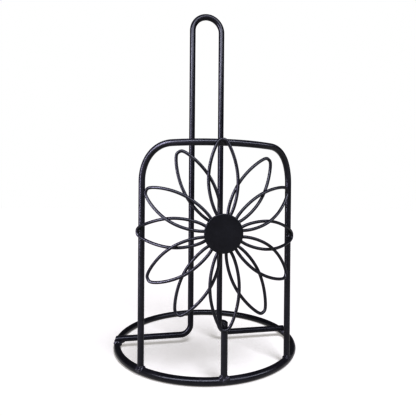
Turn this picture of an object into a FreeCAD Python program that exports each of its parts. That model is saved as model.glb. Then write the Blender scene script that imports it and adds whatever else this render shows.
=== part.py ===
import FreeCAD, Part
import math
import os

# Free-standing paper towel holder, welded from round steel wire.
# Millimetres, +Z up. The origin is the centre of the base ring, on the table.
# -Y is the front, where the flower is. The mast's feet run along X.
#
# Pieces: a base ring, a hairpin mast that carries the roll, a round-cornered
# front arch curved to follow the ring, a short front post, and a wire flower
# of twelve petals in two layers, with a flat disc over their roots.

Vector = FreeCAD.Vector

# Wire diameters
ring_wire = 6.4
mast_wire = 5.6
arch_wire = 5.2
petal_wire = 2.4

# Base ring, lying on the table
ring_radius = 86.0

# Roll mast: two legs that pass through a paper roll's core
mast_half_spacing = 14.8
mast_top = 331.0
mast_bend_radius = 10.0
left_foot_reach = 88.0       # from the mast's axis to the foot's cut end
right_foot_reach = 84.6      # this foot is cut shorter
foot_sink = 0.6              # how far a foot is let into the ring where they are welded
mast_turn = 1.6              # degrees that the mast stands turned, right foot to the back

# Front arch: legs on the ring, top bar following the ring's curve
upright_radius = 86.0        # from the ring's axis to the centre lines of the arch and post
arch_half_angle = 47.0       # degrees round from the front to each leg
arch_offset = 0.35           # along the ring, from the middle of the front
arch_height = 186.2          # centre line of the top bar
arch_corner_radius = 29.0    # measured along the curved panel
corner_steps = 4
upright_sink = 0.8           # how far an upright is let into the ring

# Front post under the flower
post_top = 49.3
post_offset = 0.9            # along the ring, from the middle of the front

# Flower: twelve petals, named by the hours of a clock
flower_height = 116.8
flower_offset = -0.6         # the petals are welded on a little to the left
flower_flat_half_width = 6.0
disc_diameter = 30.0
disc_thickness = 1.6
disc_rim_chamfer = 0.35
disc_offset = -1.4           # and the disc a little more
weld_bite = 0.05             # overlap of two round wires that touch at a weld

# The petals are bent and set by hand. Each has its own reach from the flower's
# centre and its own lean, in degrees clockwise. Those at 3, 6 and 9 o'clock are
# longer, to reach the arch's legs and the post.
petal_length = {1: 69.5, 2: 69.3, 3: 74.3, 4: 69.3, 5: 71.7, 6: 73.4,
                7: 71.2, 8: 70.8, 9: 73.2, 10: 70.7, 11: 70.6, 12: 71.0}
petal_lean = {1: 3.5, 2: 0.5, 3: 3.4, 4: 1.6, 5: 1.7, 6: -0.9,
              7: -0.7, 8: -1.1, 9: -0.3, 10: -3.0, 11: 0.6, 12: -1.4}

# One petal's leaf shape: a closed spline pulled by its root, four points down
# each flank, and its nose. Each flank point is a share of the petal's length,
# counted from the flower's centre, and a half width. The two side petals, at
# 3 and 9 o'clock, are more pointed.
petal_root = 0.098
petal_flank = [(0.214, 7.2), (0.513, 12.6), (0.789, 9.9), (1.006, 3.2)]
side_petal_flank = [(0.214, 8.1), (0.513, 12.7), (0.789, 8.6), (1.006, 3.1)]
petal_nose = 0.997
petal_steps = 14

# Heights and depths that follow from the sizes above
ring_height = ring_wire / 2
foot_height = ring_wire + mast_wire / 2 - foot_sink
upright_foot = ring_wire - upright_sink
front_layer_depth = upright_radius + (arch_wire + petal_wire) / 2 - weld_bite
layer_gap = petal_wire - weld_bite


def straight(start, end):
    return Part.LineSegment(start, end).toShape()


def bend(start, middle, end):
    return Part.Arc(start, middle, end).toShape()


def bend_from(start, heading, end):
    """Arc that leaves start along heading and passes through end."""
    chord = end - start
    along = Vector(chord).normalize()
    rise = heading - along * heading.dot(along)
    if rise.Length < 1e-7:
        return straight(start, end)
    quarter_turn = math.atan2(rise.Length, heading.dot(along)) / 2
    bulge = chord.Length / 2 * math.tan(quarter_turn)
    return bend(start, (start + end) / 2 + rise.normalize() * bulge, end)


def bend_pair(start, heading, end, end_heading):
    """Two arcs in line with each other and with both headings."""
    chord = end - start
    both = heading + end_heading
    spread = 2 * (1 - heading.dot(end_heading))
    lean = chord.dot(both)
    if spread < 1e-9:
        reach = chord.dot(chord) / (2 * lean)
    else:
        reach = (math.sqrt(lean ** 2 + spread * chord.dot(chord)) - lean) / spread
    middle = (start + end + (heading - end_heading) * reach) / 2
    middle_heading = (middle - start - heading * reach).normalize()
    return [bend_from(start, heading, middle), bend_from(middle, middle_heading, end)]


def bends_along(curve, steps):
    """Chain of arcs in line with each other that follows curve(0) to curve(1)."""
    small = 1e-4
    spots = [step / steps for step in range(steps + 1)]
    points = [curve(spot) for spot in spots]
    headings = [(curve(spot + small) - curve(spot - small)).normalize() for spot in spots]
    edges = []
    for step in range(steps):
        edges += bend_pair(points[step], headings[step], points[step + 1], headings[step + 1])
    return edges


def swept_wire(edges, diameter):
    """Round wire along a path of edges that meet in line."""
    path = Part.Wire(edges)
    first = path.Edges[0]
    start = first.valueAt(first.FirstParameter)
    heading = first.tangentAt(first.FirstParameter)
    section = Part.Wire([Part.makeCircle(diameter / 2, start, heading)])
    return path.makePipeShell([section], True, False)


def base_ring():
    return Part.makeTorus(ring_radius, ring_wire / 2, Vector(0, 0, ring_height))


def roll_mast():
    """Hairpin with a half-round top and two feet across the ring."""
    half = mast_half_spacing
    turn = mast_bend_radius
    shoulder = mast_top - mast_wire / 2 - half
    slack = turn * (1 - math.sqrt(0.5))

    def side(sign, foot_reach):
        foot_end = Vector(sign * foot_reach, 0, foot_height)
        foot_start = Vector(sign * (half + turn), 0, foot_height)
        bend_middle = Vector(sign * (half + slack), 0, foot_height + slack)
        leg_bottom = Vector(sign * half, 0, foot_height + turn)
        leg_top = Vector(sign * half, 0, shoulder)
        return foot_end, foot_start, bend_middle, leg_bottom, leg_top

    left = side(-1, left_foot_reach)
    right = side(1, right_foot_reach)
    crown = Vector(0, 0, shoulder + half)
    edges = [
        straight(left[0], left[1]),
        bend(left[1], left[2], left[3]),
        straight(left[3], left[4]),
        bend(left[4], crown, right[4]),
        straight(right[4], right[3]),
        bend(right[3], right[2], right[1]),
        straight(right[1], right[0]),
    ]
    mast = swept_wire(edges, mast_wire)
    mast.rotate(Vector(0, 0, 0), Vector(0, 0, 1), mast_turn)
    return mast.cut(base_ring())


def on_panel(along, height):
    """Point on the curved front panel; along is the arc length from its middle."""
    angle = along / upright_radius
    return Vector(upright_radius * math.sin(angle), -upright_radius * math.cos(angle), height)


def front_arch():
    """Round-cornered frame on a cylinder that follows the base ring."""
    leg_along = math.radians(arch_half_angle) * upright_radius
    bar_along = leg_along - arch_corner_radius
    corner_height = arch_height - arch_corner_radius

    def on_frame(along, height):
        return on_panel(arch_offset + along, height)

    def left_corner(share):
        turn = math.pi / 2 * share
        along = bar_along + arch_corner_radius * math.cos(turn)
        return on_frame(-along, corner_height + arch_corner_radius * math.sin(turn))

    def right_corner(share):
        turn = math.pi / 2 * (1 - share)
        along = bar_along + arch_corner_radius * math.cos(turn)
        return on_frame(along, corner_height + arch_corner_radius * math.sin(turn))

    edges = [straight(on_frame(-leg_along, upright_foot), on_frame(-leg_along, corner_height))]
    edges += bends_along(left_corner, corner_steps)
    edges += [bend(on_frame(-bar_along, arch_height), on_frame(0, arch_height),
                   on_frame(bar_along, arch_height))]
    edges += bends_along(right_corner, corner_steps)
    edges += [straight(on_frame(leg_along, corner_height), on_frame(leg_along, upright_foot))]
    return swept_wire(edges, arch_wire).cut(base_ring())


def front_post():
    edges = [straight(on_panel(post_offset, upright_foot), on_panel(post_offset, post_top))]
    return swept_wire(edges, arch_wire).cut(base_ring())


def flower_bend_radius():
    """Bend of the back layer, so that the side petals just reach the arch legs."""
    angle = math.radians(arch_half_angle)
    side = front_layer_depth * math.sin(angle) - flower_flat_half_width
    depth = front_layer_depth * (1 - math.cos(angle)) - layer_gap
    return (side ** 2 + depth ** 2) / (2 * depth)


def on_flower(across, up, layer):
    """Point on the bent flower; layer 0 is the back one and 1 the front one."""
    radius = flower_bend_radius() + layer * layer_gap
    turn = max(abs(across) - flower_flat_half_width, 0.0) / radius
    side = min(abs(across), flower_flat_half_width) + radius * math.sin(turn)
    front = front_layer_depth - (1 - layer) * layer_gap
    y = -front + radius * (1 - math.cos(turn))
    return Vector(math.copysign(side, across), y, flower_height + up)


def petal(hour):
    """Closed loop of thin wire; even hours are in the front layer."""
    length = petal_length[hour]
    shape = side_petal_flank if hour in (3, 9) else petal_flank
    flank = [Vector(share * length, half_width, 0) for share, half_width in shape]
    other_flank = [Vector(point.x, -point.y, 0) for point in reversed(flank)]
    root = Vector(petal_root * length, 0, 0)
    nose = Vector(petal_nose * length, 0, 0)
    leaf = Part.BSplineCurve()
    leaf.buildFromPoles([root] + flank + [nose] + other_flank, True, 3)

    clock = math.radians(30 * hour + petal_lean[hour])
    layer = 1 if hour % 2 == 0 else 0
    first = leaf.FirstParameter
    span = leaf.LastParameter - first

    def outline(share):
        place = leaf.value(first + span * (share % 1.0))
        across = place.x * math.sin(clock) + place.y * math.cos(clock)
        up = place.x * math.cos(clock) - place.y * math.sin(clock)
        return on_flower(flower_offset + across, up, layer)

    edges = bends_along(outline, petal_steps)
    halfway = len(edges) // 2
    one_flank = swept_wire(edges[:halfway], petal_wire)
    return one_flank.fuse(swept_wire(edges[halfway:], petal_wire))


def flower_disc():
    """Flat round plate in front of the petals' roots, with a bevelled front rim."""
    back = Vector(disc_offset, -front_layer_depth - petal_wire / 2 + weld_bite, flower_height)
    plate = Part.makeCylinder(disc_diameter / 2, disc_thickness, back, Vector(0, -1, 0))
    front_y = back.y - disc_thickness
    rim = [edge for edge in plate.Edges if edge.BoundBox.YMax - front_y < 0.01]
    return plate.makeChamfer(disc_rim_chamfer, rim)


def save(name, shape):
    solids = shape.Solids
    if len(solids) != 1 or not shape.isValid():
        raise ValueError(f"{name} is not one valid solid")
    solids[0].exportStep(f"parts/{name}.step")


os.makedirs("parts", exist_ok=True)
save("base_ring", base_ring())
save("roll_mast", roll_mast())
save("front_arch", front_arch())
save("front_post", front_post())
save("flower_disc", flower_disc())
for hour in range(1, 13):
    save(f"petal_{hour:02d}", petal(hour))
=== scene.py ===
import math

import bpy
import numpy as np
from mathutils import Matrix, Vector


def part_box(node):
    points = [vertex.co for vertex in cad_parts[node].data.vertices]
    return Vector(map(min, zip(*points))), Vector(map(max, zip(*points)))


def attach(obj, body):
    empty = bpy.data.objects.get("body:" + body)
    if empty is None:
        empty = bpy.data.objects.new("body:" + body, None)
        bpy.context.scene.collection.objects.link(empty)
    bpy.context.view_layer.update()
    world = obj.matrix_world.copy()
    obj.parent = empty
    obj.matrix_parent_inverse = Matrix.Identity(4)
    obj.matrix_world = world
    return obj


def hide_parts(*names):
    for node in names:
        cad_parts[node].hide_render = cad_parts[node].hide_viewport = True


# Free-standing wire paper towel holder. Metres, +Z up, -Y to the front.
# Each wire of the frame is drawn again as a smooth tube with sheared ends, and
# the welds, which the frame leaves out, are added as lumpy fillets. Everything
# is one welded piece, so all of it rides on the one body.

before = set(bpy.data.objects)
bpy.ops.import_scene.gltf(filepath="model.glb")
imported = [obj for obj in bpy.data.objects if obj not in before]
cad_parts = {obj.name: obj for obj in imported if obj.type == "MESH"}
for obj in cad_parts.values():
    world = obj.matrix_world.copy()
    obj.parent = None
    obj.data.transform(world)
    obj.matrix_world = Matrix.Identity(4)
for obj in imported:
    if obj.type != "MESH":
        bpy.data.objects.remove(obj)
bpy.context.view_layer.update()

MM = 0.001

# ------------------------------------------------- sizes read from the frame
ring_low, ring_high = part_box("base_ring")
mast_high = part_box("roll_mast")[1]
arch_low, arch_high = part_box("front_arch")
post_low, post_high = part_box("front_post")
disc_low, disc_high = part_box("flower_disc")

ring_wire = ring_high.z - ring_low.z
ring_radius = (ring_high.x - ring_low.x) / 2 - ring_wire / 2
mast_top = mast_high.z
arch_wire = post_high.x - post_low.x
upright_radius = -arch_low.y - arch_wire / 2
post_angle = math.atan2(post_low.x + post_high.x, -post_low.y - post_high.y)
disc_middle = (disc_low + disc_high) / 2
arch_height = arch_high.z - arch_wire / 2
post_top = post_high.z
disc_radius = (disc_high.x - disc_low.x) / 2
flower_height = disc_middle.z

# ------------------------------------------------- sizes that no box gives
mast_wire = 5.6 * MM
petal_wire = 2.4 * MM
weld_bite = 0.05 * MM                   # overlap of two wires that touch at a weld
foot_sink = 0.6 * MM                    # how far the mast's feet are let into the ring
foot_reach = {-1: 88.0 * MM, 1: 84.6 * MM}      # left and right, from the mast's axis
mast_turn = Matrix.Rotation(math.radians(1.6), 3, "Z")
mast_half_spacing = 14.8 * MM
mast_bend_radius = 10.0 * MM
arch_offset = 0.35 * MM
arch_half_angle = math.radians(47.0)
arch_corner_radius = 29.0 * MM
flower_offset = -0.6 * MM
flower_flat_half_width = 6.0 * MM

# Petals, by the hours of a clock: each one's reach from the flower's centre, in
# millimetres, and its lean in degrees clockwise. A flank point is a share of
# the length and a half width in millimetres.
petal_length = {1: 69.5, 2: 69.3, 3: 74.3, 4: 69.3, 5: 71.7, 6: 73.4,
                7: 71.2, 8: 70.8, 9: 73.2, 10: 70.7, 11: 70.6, 12: 71.0}
petal_lean = {1: 3.5, 2: 0.5, 3: 3.4, 4: 1.6, 5: 1.7, 6: -0.9,
              7: -0.7, 8: -1.1, 9: -0.3, 10: -3.0, 11: 0.6, 12: -1.4}
petal_root = 0.098
petal_flank = [(0.214, 7.2), (0.513, 12.6), (0.789, 9.9), (1.006, 3.2)]
side_petal_flank = [(0.214, 8.1), (0.513, 12.7), (0.789, 8.6), (1.006, 3.1)]
petal_nose = 0.997

foot_height = ring_wire + mast_wire / 2 - foot_sink
layer_gap = petal_wire - weld_bite
front_layer_depth = upright_radius + (arch_wire + petal_wire) / 2 - weld_bite

# Spacing of the points along a wire
straight_pitch = 6.0 * MM
bend_pitch = 1.4 * MM
petal_pitch = 0.9 * MM
petal_samples = 800


# ---------------------------------------------------------------- wire paths

def straight(start, end):
    """Points from start up to, but not including, end."""
    count = max(2, round((end - start).length / straight_pitch))
    return [start.lerp(end, step / count) for step in range(count)]


def bend(centre, radius, first, last):
    """Points round an upright arc, from angle first up to, but not including, last."""
    count = max(8, round(abs(last - first) * radius / bend_pitch))
    turns = [first + (last - first) * step / count for step in range(count)]
    return [centre + Vector((math.cos(turn), 0, math.sin(turn))) * radius for turn in turns]


def ring_path():
    """Closed circle along the middle of the base ring's wire."""
    count = round(2 * math.pi * ring_radius / bend_pitch)
    turns = [2 * math.pi * step / count for step in range(count)]
    return [Vector((ring_radius * math.cos(turn), ring_radius * math.sin(turn), ring_wire / 2))
            for turn in turns]


def mast_path():
    """From the left foot's end, up, over the half-round top, and down to the right foot's end."""
    half = mast_half_spacing
    turn = mast_bend_radius
    shoulder = mast_top - mast_wire / 2 - half
    heel = foot_height + turn
    quarter = math.pi / 2
    left_foot = Vector((-foot_reach[-1], 0, foot_height))
    right_foot = Vector((foot_reach[1], 0, foot_height))
    points = straight(left_foot, Vector((-half - turn, 0, foot_height)))
    points += bend(Vector((-half - turn, 0, heel)), turn, -quarter, 0)
    points += straight(Vector((-half, 0, heel)), Vector((-half, 0, shoulder)))
    points += bend(Vector((0, 0, shoulder)), half, 2 * quarter, 0)
    points += straight(Vector((half, 0, shoulder)), Vector((half, 0, heel)))
    points += bend(Vector((half + turn, 0, heel)), turn, 2 * quarter, 3 * quarter)
    points += straight(Vector((half + turn, 0, foot_height)), right_foot)
    return [mast_turn @ point for point in points + [right_foot]]


def on_panel(along, height):
    """Point on the curved front panel; along is the arc length from its middle."""
    angle = along / upright_radius
    return Vector((upright_radius * math.sin(angle), -upright_radius * math.cos(angle), height))


def arch_path():
    """Flat outline of the arch, wrapped on the panel; the feet end inside the ring."""
    leg = arch_half_angle * upright_radius
    corner = arch_corner_radius
    bar = leg - corner
    corner_height = arch_height - corner
    quarter = math.pi / 2
    right_foot = Vector((leg, 0, ring_wire / 2))
    bar_steps = round(2 * bar / bend_pitch)
    flat = straight(Vector((-leg, 0, ring_wire / 2)), Vector((-leg, 0, corner_height)))
    flat += bend(Vector((-bar, 0, corner_height)), corner, 2 * quarter, quarter)
    flat += [Vector((bar * (2 * step / bar_steps - 1), 0, arch_height))
             for step in range(bar_steps)]
    flat += bend(Vector((bar, 0, corner_height)), corner, quarter, 0)
    flat += straight(Vector((leg, 0, corner_height)), right_foot)
    return [on_panel(arch_offset + point.x, point.z) for point in flat + [right_foot]]


def post_path():
    """Straight up from inside the ring to the post's cut end."""
    along = post_angle * upright_radius
    foot = on_panel(along, ring_wire / 2)
    top = on_panel(along, post_top)
    return straight(foot, top) + [top]


def flower_bend_radius():
    """Bend of the back layer, so that the side petals just reach the arch legs."""
    side = front_layer_depth * math.sin(arch_half_angle) - flower_flat_half_width
    depth = front_layer_depth * (1 - math.cos(arch_half_angle)) - layer_gap
    return (side ** 2 + depth ** 2) / (2 * depth)


def on_flower(across, up, layer):
    """Point on the bent flower; layer 0 is the back one and 1 the front one."""
    radius = flower_bend_radius() + layer * layer_gap
    turn = max(abs(across) - flower_flat_half_width, 0.0) / radius
    side = min(abs(across), flower_flat_half_width) + radius * math.sin(turn)
    front = front_layer_depth - (1 - layer) * layer_gap
    y = -front + radius * (1 - math.cos(turn))
    return Vector((math.copysign(side, across), y, flower_height + up))


def closed_spline(poles, share):
    """Point on the closed uniform cubic spline that the poles pull."""
    place = share * len(poles)
    first = math.floor(place)
    t = place - first
    pulls = ((1 - t) ** 3, 3 * t ** 3 - 6 * t ** 2 + 4,
             -3 * t ** 3 + 3 * t ** 2 + 3 * t + 1, t ** 3)
    total = Vector((0, 0))
    for offset, pull in enumerate(pulls):
        total += poles[(first - 1 + offset) % len(poles)] * (pull / 6)
    return total


def petal_point(hour, share):
    """Point on a petal's centre line; share 0 is its root and 0.5 its tip."""
    length = petal_length[hour] * MM
    shape = side_petal_flank if hour in (3, 9) else petal_flank
    flank = [Vector((along * length, half_width * MM)) for along, half_width in shape]
    other_flank = [Vector((pole.x, -pole.y)) for pole in reversed(flank)]
    root = Vector((petal_root * length, 0))
    nose = Vector((petal_nose * length, 0))
    place = closed_spline([root] + flank + [nose] + other_flank, share)
    clock = math.radians(30 * hour + petal_lean[hour])
    across = place.x * math.sin(clock) + place.y * math.cos(clock)
    up = place.x * math.cos(clock) - place.y * math.sin(clock)
    return on_flower(flower_offset + across, up, 1 if hour % 2 == 0 else 0)


def petal_path(hour):
    """The petal's points, petal_pitch apart."""
    rough = np.array([petal_point(hour, step / petal_samples)
                      for step in range(petal_samples + 1)])
    run = np.concatenate([[0.0], np.cumsum(np.linalg.norm(np.diff(rough, axis=0), axis=1))])
    count = round(run[-1] / petal_pitch)
    places = np.linspace(0, run[-1], count, endpoint=False)
    columns = [np.interp(places, run, rough[:, axis]) for axis in range(3)]
    return [Vector(values) for values in zip(*columns)]


# ---------------------------------------------------------------- meshes

# The softboxes light only the pieces, and not the floor. The one on the left
# also leaves out the base ring, and the one on the right the tall mast.
lit_pieces = bpy.data.collections.new("lit_pieces")
raised_pieces = bpy.data.collections.new("raised_pieces")
low_pieces = bpy.data.collections.new("low_pieces")


def add_piece(name, points, faces, material, slot, replaced=()):
    """Mesh object that rides on the body, lit, and standing for any replaced nodes."""
    mesh = bpy.data.meshes.new(name)
    mesh.from_pydata([tuple(point) for point in points], [], [tuple(face) for face in faces])
    mesh.polygons.foreach_set("use_smooth", [True] * len(mesh.polygons))
    mesh.materials.append(material)
    mesh.update()
    piece = bpy.data.objects.new(name, mesh)
    bpy.context.scene.collection.objects.link(piece)
    lit_pieces.objects.link(piece)
    if name != "base_ring_wire":
        raised_pieces.objects.link(piece)
    if name != "roll_mast_wire":
        low_pieces.objects.link(piece)
    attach(piece, "root")
    if replaced:
        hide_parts(*replaced)


def unit(vectors):
    """The same directions, with a length of 1."""
    return vectors / np.linalg.norm(vectors, axis=-1, keepdims=True)


def side_vectors(headings, closed):
    """One vector square to each heading, turning no more than the wire does."""
    helper = np.array([0.0, 1.0, 0.0])
    if abs(headings[0] @ helper) > 0.9:
        helper = np.array([0.0, 0.0, 1.0])
    side = helper
    sides = []
    for heading in headings:
        side = unit(side - heading * (side @ heading))
        sides.append(side)
    if closed:
        back = unit(side - headings[0] * (side @ headings[0]))
        twist = math.atan2(np.cross(sides[0], back) @ headings[0], back @ sides[0])
        for row in range(len(sides)):
            angle = -twist * row / len(sides)
            square = np.cross(headings[row], sides[row])
            sides[row] = sides[row] * math.cos(angle) + square * math.sin(angle)
    return np.array(sides)


def sheared_end(middle, heading, side, radius, count, slant, draws):
    """Rows of points that close a wire with a rounded edge and a rough, slanted face."""
    square = np.cross(heading, side)
    angles = np.arange(count) * 2 * math.pi / count
    spokes = np.outer(np.cos(angles), side) + np.outer(np.sin(angles), square)
    lean = slant[0] * np.cos(angles) + slant[1] * np.sin(angles)
    edge = 0.16 * radius
    face_share = 0.95
    roughness = 0.03
    # Each row's share of the wire's radius, and how far it lies before the end
    steps = [(1.0, -edge), (0.975, -0.45 * edge), (0.91, -0.1 * edge), (0.84, 0.0),
             (0.6, 0.0), (0.3, 0.0)]
    rows = []
    for share, ahead in steps:
        rough = draws.uniform(-roughness, roughness, count) * radius * (share < face_share)
        away = ahead + rough + lean * share * radius
        rows.append(middle + spokes * radius * share + np.outer(away, heading))
    return rows


def tube(path, radius, sides, closed=False, slants=((0, 0), (0, 0)), seed=0):
    """Points and faces of a round wire along a path, with a slant for each cut end."""
    line = np.array([tuple(point) for point in path])
    if closed:
        headings = unit(np.roll(line, -1, axis=0) - np.roll(line, 1, axis=0))
    else:
        headings = unit(np.gradient(line, axis=0))
    across = side_vectors(headings, closed)
    square = np.cross(headings, across)
    angles = np.arange(sides) * 2 * math.pi / sides
    rows = [middle + radius * (np.outer(np.cos(angles), one) + np.outer(np.sin(angles), other))
            for middle, one, other in zip(line, across, square)]
    if not closed:
        draws = np.random.default_rng(seed)
        start = sheared_end(line[0], -headings[0], across[0], radius, sides, slants[0], draws)
        start = [np.roll(row[::-1], 1, axis=0) for row in start]
        finish = sheared_end(line[-1], headings[-1], across[-1], radius, sides, slants[1], draws)
        rows = start[::-1] + rows[1:-1] + finish
    points = np.concatenate(rows)
    count = len(rows)
    faces = []
    for row in range(count if closed else count - 1):
        here = row * sides
        there = (row + 1) % count * sides
        for step in range(sides):
            after = (step + 1) % sides
            faces.append((here + step, here + after, there + after, there + step))
    if not closed:
        first_tip = len(points)
        last_tip = first_tip + 1
        last_row = (count - 1) * sides
        points = np.concatenate([points, [line[0], line[-1]]])
        for step in range(sides):
            after = (step + 1) % sides
            faces.append((after, step, first_tip))
            faces.append((last_row + step, last_row + after, last_tip))
    return points, faces


def disc_mesh(sides=144):
    """Flat plate facing -Y, with a rounded front rim and a sharper back one."""
    thickness = disc_high.y - disc_low.y
    rim = 0.65 * MM
    burr = 0.15 * MM
    rim_steps = 6
    burr_steps = 3
    quarter = math.pi / 2
    inner = 0.35 * disc_radius
    outer = 0.7 * disc_radius
    # Each row's distance from the disc's axis, and how far it lies behind the front
    profile = [(inner, 0.0), (outer, 0.0)]
    for step in range(rim_steps + 1):
        turn = quarter * step / rim_steps
        profile.append((disc_radius - rim + rim * math.sin(turn), rim - rim * math.cos(turn)))
    for step in range(burr_steps + 1):
        turn = quarter * step / burr_steps
        profile.append((disc_radius - burr + burr * math.cos(turn),
                        thickness - burr + burr * math.sin(turn)))
    profile += [(outer, thickness), (inner, thickness)]
    points = []
    for radius, back in profile:
        for step in range(sides):
            turn = 2 * math.pi * step / sides
            points.append((disc_middle.x + radius * math.cos(turn), disc_low.y + back,
                           flower_height + radius * math.sin(turn)))
    faces = []
    for row in range(len(profile) - 1):
        for step in range(sides):
            after = (step + 1) % sides
            faces.append((row * sides + step, row * sides + after,
                          (row + 1) * sides + after, (row + 1) * sides + step))
    front = len(points)
    last = (len(profile) - 1) * sides
    points += [(disc_middle.x, disc_low.y, flower_height),
               (disc_middle.x, disc_high.y, flower_height)]
    for step in range(sides):
        after = (step + 1) % sides
        faces.append((after, step, front))
        faces.append((last + step, last + after, front + 1))
    return points, faces


# ---------------------------------------------------------------- welds

def wire_distance(places, path, radius):
    """Distance of each place from a round wire's surface."""
    nearest = np.full(len(places), np.inf)
    for start, end in zip(path[:-1], path[1:]):
        run = end - start
        share = np.clip((places - start) @ run / (run @ run), 0, 1)
        gap = np.linalg.norm(places - start - share[:, None] * run, axis=1)
        nearest = np.minimum(nearest, gap)
    return nearest - radius


def smooth_min(one, other, blend):
    """Lower of two distances, with the seam between them filled over blend."""
    overlap = np.maximum(blend - np.abs(one - other), 0) / blend
    return np.minimum(one, other) - overlap ** 2 * blend / 4


def surface_quads(value):
    """Net of quads round the region where value is negative, in grid steps."""
    total = np.zeros(tuple(size - 1 for size in value.shape) + (3,))
    hits = np.zeros(total.shape[:3])
    quads = []
    for axis in range(3):
        size = value.shape[axis]
        before = np.take(value, range(size - 1), axis)
        after = np.take(value, range(1, size), axis)
        edge = np.argwhere((before < 0) != (after < 0))
        here = before[tuple(edge.T)]
        there = after[tuple(edge.T)]
        crossing = edge.astype(float)
        crossing[:, axis] += here / (here - there)
        one = (axis + 1) % 3
        other = (axis + 2) % 3
        corners = []
        for back_one, back_other in ((0, 0), (1, 0), (1, 1), (0, 1)):
            cell = edge.copy()
            cell[:, one] -= back_one
            cell[:, other] -= back_other
            np.add.at(total, tuple(cell.T), crossing)
            np.add.at(hits, tuple(cell.T), 1)
            corners.append(cell)
        outward = here < 0
        for spot in range(len(edge)):
            quad = [tuple(corner[spot]) for corner in corners]
            quads.append(quad if outward[spot] else quad[::-1])
    used = np.argwhere(hits > 0)
    number = {tuple(cell): index for index, cell in enumerate(used)}
    points = total[tuple(used.T)] / hits[tuple(used.T)][:, None]
    return points, [[number[cell] for cell in quad] for quad in quads]


def lumps(places, size, seed):
    """Smooth uneven values between about -1 and 1, with bumps of the given size."""
    draws = np.random.default_rng(seed)
    waves = 9
    total = np.zeros(len(places))
    for _ in range(waves):
        direction = unit(draws.normal(size=3))
        total += np.sin(places @ direction * 2 * math.pi / size / draws.uniform(0.7, 1.5)
                        + draws.uniform(0, 2 * math.pi))
    return total / math.sqrt(waves)


def nearby(path, centre, reach):
    """The stretches of a path within reach of centre."""
    line = np.array([tuple(point) for point in path])
    close = np.linalg.norm(line - centre, axis=1) < reach
    runs = []
    for index in range(len(line) - 1):
        if close[index] or close[index + 1]:
            runs.append(line[index:index + 2])
    return runs


def weld_mesh(centre, reach, wires, beads, cell, fillet, seed):
    """Skin of the weld metal between wires, closed inside them at reach from centre."""
    centre = np.array(tuple(centre))
    hidden = 0.05 * MM                  # the skin lies this far inside the bare wires
    bead_blend = 0.7 * MM
    lump_size = 1.6 * MM
    lump_share = 0.10
    count = int(math.ceil(2 * reach / cell)) + 5
    steps = (np.arange(count) - (count - 1) / 2) * cell
    grid = np.stack(np.meshgrid(steps, steps, steps, indexing="ij"), axis=-1).reshape(-1, 3)
    places = grid + centre
    field = None
    for path, radius in wires:
        wire = np.full(len(places), np.inf)
        for run in nearby(path, centre, 3 * reach):
            wire = np.minimum(wire, wire_distance(places, run, radius - hidden))
        field = wire if field is None else smooth_min(field, wire, fillet)
    rough = lumps(places, lump_size, seed)
    for place, radius in beads:
        away = np.linalg.norm(places - np.array(tuple(place)), axis=1)
        field = smooth_min(field, away - radius * (1 + lump_share * rough), bead_blend)
    field = np.maximum(field, np.linalg.norm(grid, axis=1) - reach)
    points, quads = surface_quads(field.reshape(count, count, count))
    return centre + (points - (count - 1) / 2) * cell, quads


def join(meshes):
    """Several meshes as one."""
    points = []
    faces = []
    for some_points, some_faces in meshes:
        offset = len(points)
        points += [tuple(point) for point in some_points]
        faces += [[corner + offset for corner in face] for face in some_faces]
    return points, faces


def ring_top(x, y, above=0.0):
    """Point just above the ring's surface, straight above x, y."""
    away = math.hypot(x, y) - ring_radius
    rise = math.sqrt(max((ring_wire / 2) ** 2 - away ** 2, 0))
    return Vector((x, y, ring_wire / 2 + rise + above))


def upright_weld(foot, nuggets, seed):
    """Collar round an upright's foot on the ring, with a few larger nuggets."""
    draws = np.random.default_rng(seed)
    radius = arch_wire / 2 + 0.25 * MM
    collar_beads = 14
    beads = []
    for step in range(collar_beads):
        turn = 2 * math.pi * (step + draws.uniform(-0.3, 0.3)) / collar_beads
        place = ring_top(foot.x + radius * math.cos(turn), foot.y + radius * math.sin(turn))
        beads.append((place, draws.uniform(0.65, 1.05) * MM))
    for turn, size in nuggets:
        angle = math.radians(turn)
        out = arch_wire / 2 + 0.35 * size
        place = ring_top(foot.x + out * math.cos(angle), foot.y + out * math.sin(angle),
                         0.25 * size)
        beads.append((place, size))
    return beads


def foot_weld(sign, seed):
    """Beads down both sides of a mast foot, over the ring, with spatter on the inside."""
    draws = np.random.default_rng(seed)
    side_beads = 9
    spatter_beads = 5
    spatter_pitch = 0.95 * MM
    beads = []
    # Degrees round the ring's wire, from its top towards the outside
    first_turn = -78
    last_turn = math.degrees(math.asin((foot_reach[sign] - ring_radius) / (ring_wire / 2)))
    for face in (-1, 1):
        for step in range(side_beads):
            turn = math.radians(first_turn + (last_turn - first_turn) * step / (side_beads - 1))
            out = ring_wire / 2 + 0.15 * MM
            x = sign * (ring_radius + out * math.sin(turn))
            z = ring_wire / 2 + out * math.cos(turn)
            y = face * (mast_wire / 2 - 0.25 * MM + draws.uniform(-0.2, 0.3) * MM)
            beads.append((mast_turn @ Vector((x, y, z)), draws.uniform(0.95, 1.35) * MM))
    inside = ring_radius - ring_wire / 2
    for step in range(spatter_beads):
        x = sign * (inside - step * spatter_pitch + 0.8 * MM)
        y = draws.uniform(-1.6, -0.4) * MM
        z = foot_height - mast_wire / 2 + draws.uniform(-0.2, 0.5) * MM
        beads.append((mast_turn @ Vector((x, y, z)), draws.uniform(0.8, 1.3) * MM))
    return beads


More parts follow.
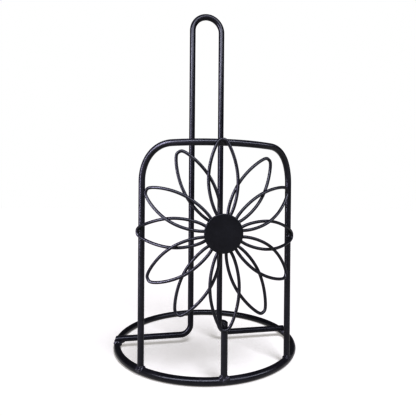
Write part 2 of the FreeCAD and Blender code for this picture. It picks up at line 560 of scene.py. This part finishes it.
def crossings(one, other):
    """The two places where the wires of neighbouring petals touch, outer one first."""
    first = np.array([tuple(point) for point in one])
    second = np.array([tuple(point) for point in other])
    gaps = np.linalg.norm(first[:, None] - second[None], axis=2)
    middles = (first[:, None] + second[None]) / 2
    centre = np.array([0, -front_layer_depth, flower_height])
    away = np.linalg.norm(middles - centre, axis=2)
    halfway = 30 * MM
    places = []
    for wanted in (away > halfway, away <= halfway):
        spot = np.unravel_index(np.argmin(np.where(wanted, gaps, np.inf)), gaps.shape)
        places.append(middles[spot])
    return places


# ---------------------------------------------------------------- materials

class Nodes:
    """Short way to add and link shader nodes."""

    def __init__(self, material):
        material.use_nodes = True
        self.tree = material.node_tree
        self.tree.nodes.clear()

    def add(self, kind, **inputs):
        node = self.tree.nodes.new(kind)
        for name, value in inputs.items():
            self.plug(node, name.replace("_", " "), value)
        return node

    def plug(self, node, name, value):
        if isinstance(value, bpy.types.NodeSocket):
            self.tree.links.new(value, node.inputs[name])
        else:
            node.inputs[name].default_value = value

    def noise(self, place, scale, detail, rough=0.5):
        node = self.add("ShaderNodeTexNoise", Vector=place, Scale=scale, Detail=detail,
                        Roughness=rough)
        return node.outputs["Fac"]

    def spread(self, value, low, high, new_low, new_high):
        node = self.add("ShaderNodeMapRange", Value=value)
        node.inputs["From Min"].default_value = low
        node.inputs["From Max"].default_value = high
        node.inputs["To Min"].default_value = new_low
        node.inputs["To Max"].default_value = new_high
        return node.outputs["Result"]

    def math(self, operation, one, other):
        node = self.tree.nodes.new("ShaderNodeMath")
        node.operation = operation
        self.plug(node, 0, one)
        self.plug(node, 1, other)
        return node.outputs[0]

    def blend(self, factor, one, other):
        node = self.tree.nodes.new("ShaderNodeMix")
        node.data_type = "RGBA"
        for index, value in ((0, factor), (6, one), (7, other)):
            self.plug(node, index, value)
        return node.outputs[2]


def powder_coat(name, dark, pale, gloss, peel_height, grain_height, streaks=False, shine=0.35):
    """Black powder coat: orange peel, fine grain, cloudy tone, dust specks and rub marks."""
    material = bpy.data.materials.new(name)
    nodes = Nodes(material)
    place = nodes.add("ShaderNodeTexCoord").outputs["Object"]

    # Scales are features in a metre: the clouds are about 20 mm across, the
    # orange peel about 1 mm and the grain under 0.2 mm.
    clouds = nodes.noise(place, 45, 4)
    mottle = nodes.noise(place, 380, 3)
    peel = nodes.noise(place, 800, 2)
    grain = nodes.noise(place, 6000, 2)
    specks = nodes.add("ShaderNodeTexVoronoi", Vector=place, Scale=420.0).outputs["Distance"]

    tone = nodes.spread(nodes.math("ADD", clouds, mottle), 0.75, 1.25, 0.0, 1.0)
    colour = nodes.blend(tone, (*dark, 1), (*pale, 1))
    dust = nodes.spread(specks, 0.0, 0.07, 0.55, 0.0)
    colour = nodes.blend(dust, colour, (0.075, 0.073, 0.08, 1))

    rough = nodes.spread(clouds, 0.3, 0.7, gloss - 0.05, gloss + 0.06)
    rough = nodes.math("ADD", rough, nodes.spread(grain, 0.3, 0.7, -0.04, 0.04))
    if streaks:
        stretched = nodes.add("ShaderNodeMapping", Vector=place)
        stretched.inputs["Scale"].default_value = (900, 900, 25)
        rubs = nodes.noise(stretched.outputs["Vector"], 1.0, 3, 0.6)
        rough = nodes.math("ADD", rough, nodes.spread(rubs, 0.58, 0.72, 0.0, -0.12))

    surface = nodes.math("ADD", nodes.math("MULTIPLY", peel, peel_height),
                         nodes.math("MULTIPLY", grain, grain_height))
    bump = nodes.add("ShaderNodeBump", Height=surface, Strength=1.0, Distance=1.0)

    shader = nodes.add("ShaderNodeBsdfPrincipled", Roughness=rough, Normal=bump.outputs["Normal"])
    nodes.plug(shader, "Base Color", colour)
    nodes.plug(shader, "Specular IOR Level", shine)
    nodes.add("ShaderNodeOutputMaterial", Surface=shader.outputs["BSDF"])
    return material


wire_coat = powder_coat("wire_coat", (0.0032, 0.0031, 0.0045), (0.0075, 0.0072, 0.010), 0.29,
                        0.005 * MM, 0.002 * MM)
mast_coat = powder_coat("mast_coat", (0.0032, 0.0031, 0.0045), (0.0075, 0.0072, 0.010), 0.29,
                        0.005 * MM, 0.002 * MM, streaks=True, shine=0.25)
weld_coat = powder_coat("weld_coat", (0.005, 0.005, 0.0065), (0.013, 0.012, 0.016), 0.27,
                        0.03 * MM, 0.003 * MM)
disc_coat = powder_coat("disc_coat", (0.002, 0.002, 0.003), (0.004, 0.004, 0.0055), 0.33,
                        0.006 * MM, 0.003 * MM, shine=0.3)

# ---------------------------------------------------------------- the wires
base_ring = ring_path()
roll_mast = mast_path()
front_arch = arch_path()
front_post = post_path()
petals = {hour: petal_path(hour) for hour in range(1, 13)}

add_piece("base_ring_wire", *tube(base_ring, ring_wire / 2, 36, closed=True),
          wire_coat, "wire_coat", ["base_ring"])
add_piece("roll_mast_wire", *tube(roll_mast, mast_wire / 2, 32, seed=1,
                                  slants=((-0.05, 0.3), (0.03, 0.08))),
          mast_coat, "wire_coat", ["roll_mast"])
add_piece("front_arch_wire", *tube(front_arch, arch_wire / 2, 32, seed=2),
          wire_coat, "wire_coat", ["front_arch"])
add_piece("front_post_wire", *tube(front_post, arch_wire / 2, 32, seed=3,
                                   slants=((0, 0), (0.14, 0.32))),
          wire_coat, "wire_coat", ["front_post"])
for hour, path in petals.items():
    add_piece(f"petal_{hour:02d}_wire", *tube(path, petal_wire / 2, 18, closed=True),
              wire_coat, "wire_coat", [f"petal_{hour:02d}"])
add_piece("flower_disc_plate", *disc_mesh(), disc_coat, "disc_coat", ["flower_disc"])

# ---------------------------------------------------------------- the welds
big_cell = 0.28 * MM                    # grid for the welds on the ring
small_cell = 0.22 * MM                  # and for those on the petals
foot_fillet = 1.2 * MM
leg_fillet = 1.4 * MM
tip_fillet = 0.7 * MM
crossing_fillet = 1.1 * MM
root_fillet = 1.0 * MM
ring_loop = base_ring + base_ring[:1]
petal_loops = {hour: path + path[:1] for hour, path in petals.items()}

for side_name, sign in (("left", -1), ("right", 1)):
    spot = mast_turn @ Vector((sign * (ring_radius - 1.2 * MM), 0, ring_wire))
    inset = [point for point in roll_mast if abs(point.x) < foot_reach[sign] - mast_wire / 2]
    points, faces = weld_mesh(spot, 8.0 * MM,
                              [(ring_loop, ring_wire / 2), (inset, mast_wire / 2)],
                              foot_weld(sign, 10 + sign), big_cell, foot_fillet, 20 + sign)
    add_piece(f"foot_weld_{side_name}", points, faces, weld_coat, "wire_coat")

# Where each upright stands along the front, and the nuggets round its foot: the
# direction of each, in degrees from +X, and its size.
leg_along = arch_half_angle * upright_radius
uprights = [("leg_weld_left", arch_offset - leg_along, [(255, 1.5 * MM), (200, 1.3 * MM)]),
            ("leg_weld_right", arch_offset + leg_along, [(245, 1.4 * MM), (10, 1.3 * MM)]),
            ("post_weld", post_angle * upright_radius, [(212, 1.6 * MM), (-38, 1.55 * MM)])]
for number, (name, along, nuggets) in enumerate(uprights):
    foot = on_panel(along, ring_wire)
    wire = front_post if name == "post_weld" else front_arch
    points, faces = weld_mesh(foot, 6.6 * MM, [(ring_loop, ring_wire / 2), (wire, arch_wire / 2)],
                              upright_weld(foot, nuggets, 30 + number), big_cell, leg_fillet,
                              40 + number)
    add_piece(name, points, faces, weld_coat, "wire_coat")

# Where a petal's tip meets the arch or the post: each lump's offset from the
# tip towards the flower's centre, sideways and back, and its size, in millimetres.
tip_welds = {
    6: [(2.6, 0.2, 1.9, 1.1), (4.0, -0.6, 2.0, 0.8), (0.3, -2.4, 1.9, 0.95),
        (0.8, 2.6, 1.9, 0.95)],
    12: [(1.4, 0.3, 1.3, 1.1), (2.4, -0.9, 1.5, 1.0), (2.2, 1.3, 1.5, 1.0), (0.9, -1.6, 1.3, 0.9)],
    3: [(1.4, 0.8, 1.2, 1.1), (1.9, -0.9, 1.3, 1.0), (0.7, 2.0, 1.3, 0.9)],
    9: [(1.4, -0.8, 1.2, 1.1), (1.9, 0.9, 1.3, 1.0), (0.6, -2.0, 1.3, 0.9)],
}
for hour, offsets in tip_welds.items():
    tip = petal_point(hour, 0.5)
    inward = (petal_point(hour, 0.0) - tip).normalized()
    outward = Vector((tip.x, tip.y, 0)).normalized()
    across = inward.cross(outward)
    beads = [(tip + (inward * along + across * aside - outward * back) * MM, size * MM)
             for along, aside, back, size in offsets]
    upright = front_post[:-1] if hour == 6 else front_arch
    points, faces = weld_mesh(tip, 6.5 * MM,
                              [(petal_loops[hour], petal_wire / 2), (upright, arch_wire / 2)],
                              beads, small_cell, tip_fillet, 50 + hour)
    add_piece(f"petal_{hour:02d}_tip_weld", points, faces, weld_coat, "wire_coat")

spot_welds = []
for hour in range(1, 13):
    after = hour % 12 + 1
    for reach, place in zip((3.6 * MM, 3.2 * MM), crossings(petals[hour], petals[after])):
        spot_welds.append(weld_mesh(place, reach,
                                    [(petal_loops[hour], petal_wire / 2),
                                     (petal_loops[after], petal_wire / 2)],
                                    [(place, 0.95 * MM)], small_cell, crossing_fillet,
                                    70 + hour))
add_piece("petal_spot_welds", *join(spot_welds), weld_coat, "wire_coat")

root_welds = []
for hour in range(2, 13, 2):
    root = petal_point(hour, 0.0)
    draws = np.random.default_rng(90 + hour)
    beads = [(root + Vector((draws.uniform(-1.1, 1.1), draws.uniform(-0.6, 0.2),
                             draws.uniform(-1.1, 1.1))) * MM, draws.uniform(0.9, 1.3) * MM)
             for _ in range(3)]
    root_welds.append(weld_mesh(root, 3.6 * MM, [(petal_loops[hour], petal_wire / 2)],
                                beads, small_cell, root_fillet, 90 + hour))
add_piece("disc_root_welds", *join(root_welds), weld_coat, "wire_coat")


# ---------------------------------------------------------------- the studio

def add_floor():
    """Plain white floor that glows a little, so that its shadows stay pale."""
    half = 12.0
    mesh = bpy.data.meshes.new("studio_floor")
    corners = [(-half, -half, 0), (half, -half, 0), (half, half, 0), (-half, half, 0)]
    mesh.from_pydata(corners, [], [(0, 1, 2, 3)])
    floor = bpy.data.objects.new("studio_floor", mesh)
    bpy.context.scene.collection.objects.link(floor)
    material = bpy.data.materials.new("floor_white")
    nodes = Nodes(material)
    place = nodes.add("ShaderNodeTexCoord").outputs["Object"]
    tone = nodes.spread(nodes.noise(place, 3, 2), 0.3, 0.7, 0.0, 1.0)
    shader = nodes.add("ShaderNodeBsdfPrincipled", Roughness=0.9)
    nodes.plug(shader, "Specular IOR Level", 0.0)
    nodes.plug(shader, "Base Color",
               nodes.blend(tone, (0.80, 0.79, 0.79, 1), (0.83, 0.825, 0.83, 1)))
    nodes.plug(shader, "Emission Color", (1.0, 0.97, 0.94, 1))
    nodes.plug(shader, "Emission Strength", 0.46)
    nodes.add("ShaderNodeOutputMaterial", Surface=shader.outputs["BSDF"])
    mesh.materials.append(material)


def add_softbox(name, receivers, place, target, width, height, power, colour):
    """Rectangular lamp that looks at target and lights only its receivers."""
    light = bpy.data.lights.new(name, "AREA")
    light.shape = "RECTANGLE"
    light.size = width
    light.size_y = height
    light.energy = power
    light.color = colour
    lamp = bpy.data.objects.new(name, light)
    lamp.location = place
    lamp.rotation_euler = (Vector(target) - Vector(place)).to_track_quat("-Z", "Y").to_euler()
    lamp.light_linking.receiver_collection = receivers
    bpy.context.scene.collection.objects.link(lamp)


def add_overhead_light():
    """Even light from above, as from a high ceiling panel."""
    light = bpy.data.lights.new("overhead_light", "SUN")
    light.energy = 2.5
    light.angle = math.radians(22)
    light.color = (0.94, 0.94, 1.0)
    lamp = bpy.data.objects.new("overhead_light", light)
    lamp.rotation_euler = (math.radians(31), math.radians(9), 0)
    lamp.visible_glossy = False
    bpy.context.scene.collection.objects.link(lamp)


def set_world():
    """White behind the object, and a dimmer grey in what it reflects."""
    world = bpy.data.worlds.new("studio_world")
    bpy.context.scene.world = world
    world.use_nodes = True
    tree = world.node_tree
    tree.nodes.clear()
    path = tree.nodes.new("ShaderNodeLightPath")
    strength = tree.nodes.new("ShaderNodeMapRange")
    strength.inputs["To Min"].default_value = 0.09
    strength.inputs["To Max"].default_value = 1.0
    background = tree.nodes.new("ShaderNodeBackground")
    background.inputs["Color"].default_value = (1, 1, 1, 1)
    output = tree.nodes.new("ShaderNodeOutputWorld")
    tree.links.new(path.outputs["Is Camera Ray"], strength.inputs["Value"])
    tree.links.new(strength.outputs["Result"], background.inputs["Strength"])
    tree.links.new(background.outputs["Background"], output.inputs["Surface"])


def add_camera():
    """Eye a little left of the front, below half height, looking almost level."""
    place = Vector((-0.6585, -3.9756, 1.5943)) * ring_radius
    yaw = math.radians(9.76)
    pitch = math.radians(-0.26)
    roll = math.radians(0.46)
    ahead = Vector((math.sin(yaw) * math.cos(pitch), math.cos(yaw) * math.cos(pitch),
                    math.sin(pitch)))
    right = Vector((math.cos(yaw), -math.sin(yaw), 0))
    up = right.cross(ahead)
    level = Matrix((right, up, -ahead)).transposed()
    data = bpy.data.cameras.new("photo_camera")
    data.sensor_width = 36.0
    data.lens = 29.60
    data.clip_start = 0.01
    camera = bpy.data.objects.new("photo_camera", data)
    turned = level @ Matrix.Rotation(roll, 3, "Z")
    camera.matrix_world = Matrix.Translation(place) @ turned.to_4x4()
    bpy.context.scene.collection.objects.link(camera)
    bpy.context.scene.camera = camera


cool_white = (0.84, 0.86, 1.0)
pale_violet = (0.80, 0.77, 1.0)

add_floor()
add_softbox("left_softbox", raised_pieces, (-0.85, -0.45, 0.25), (0, 0, 0.15), 0.22, 1.0, 26,
            pale_violet)
add_softbox("front_softbox", lit_pieces, (-0.5, -0.63, 0.69), (-0.5, 0, 0.12), 1.75, 0.36, 33,
            cool_white)
add_softbox("right_softbox", low_pieces, (0.8, -0.6, 0.64), (0.3, 0, 0.12), 0.8, 0.3, 10,
            cool_white)
add_overhead_light()
set_world()
add_camera()
bpy.context.scene.view_settings.view_transform = "Standard"
bpy.context.scene.view_settings.gamma = 0.72
